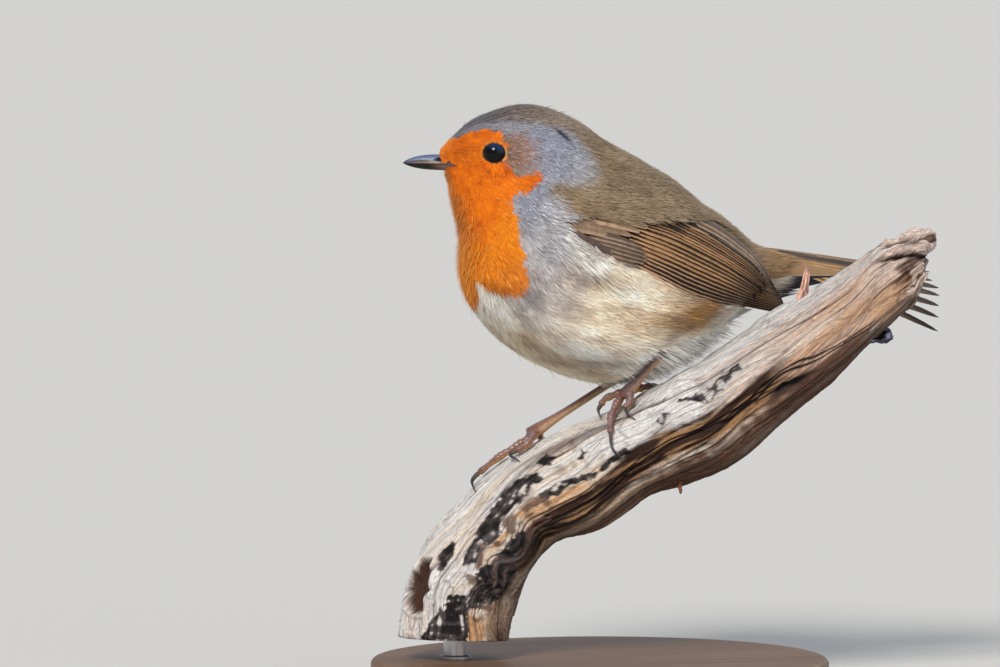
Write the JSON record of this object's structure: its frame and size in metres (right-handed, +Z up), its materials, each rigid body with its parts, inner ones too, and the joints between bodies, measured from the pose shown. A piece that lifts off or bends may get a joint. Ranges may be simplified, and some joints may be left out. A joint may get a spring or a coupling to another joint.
{
  "type": "european robin",
  "caption": "Life-size european robin as a still museum model, gripping a cut length of weathered branch that a short rod holds on a flat round base.",
  "frame": {"origin": "middle of the underside of the stand's base", "axes": "+Z up, -X the way the bird's body faces, -Y the bird's left side"},
  "size_m": [0.1437, 0.112, 0.1426],
  "materials": {
    "plumage": "soft feather coat",
    "bill": "satin horn",
    "eye": "wet gloss",
    "leg_scales": "satin scales",
    "claw": "satin horn",
    "weathered_wood": "bleached and partly charred",
    "stand_wood": "waxed, turned",
    "stand_rod": "brushed"
  },
  "bodies": {
    "root": {"head": "plumage", "neck": "plumage", "trunk": "plumage", "tail": "plumage", "wing_left": "plumage", "wing_right": "plumage", "thigh_left": "plumage", "thigh_right": "plumage", "bill_upper": "bill", "bill_lower": "bill", "eye_left": "eye", "eye_right": "eye", "shank_left": "leg_scales", "toe_left_inner": "leg_scales", "claw_left_inner": "claw", "toe_left_middle": "leg_scales", "claw_left_middle": "claw", "toe_left_outer": "leg_scales", "claw_left_outer": "claw", "toe_left_hind": "leg_scales", "claw_left_hind": "claw", "shank_right": "leg_scales", "toe_right_inner": "leg_scales", "claw_right_inner": "claw", "toe_right_middle": "leg_scales", "claw_right_middle": "claw", "toe_right_outer": "leg_scales", "claw_right_outer": "claw", "toe_right_hind": "leg_scales", "claw_right_hind": "claw", "perch": "weathered_wood", "stand_base": "stand_wood", "stand_rod": "stand_rod"}
  },
  "joints": []
}
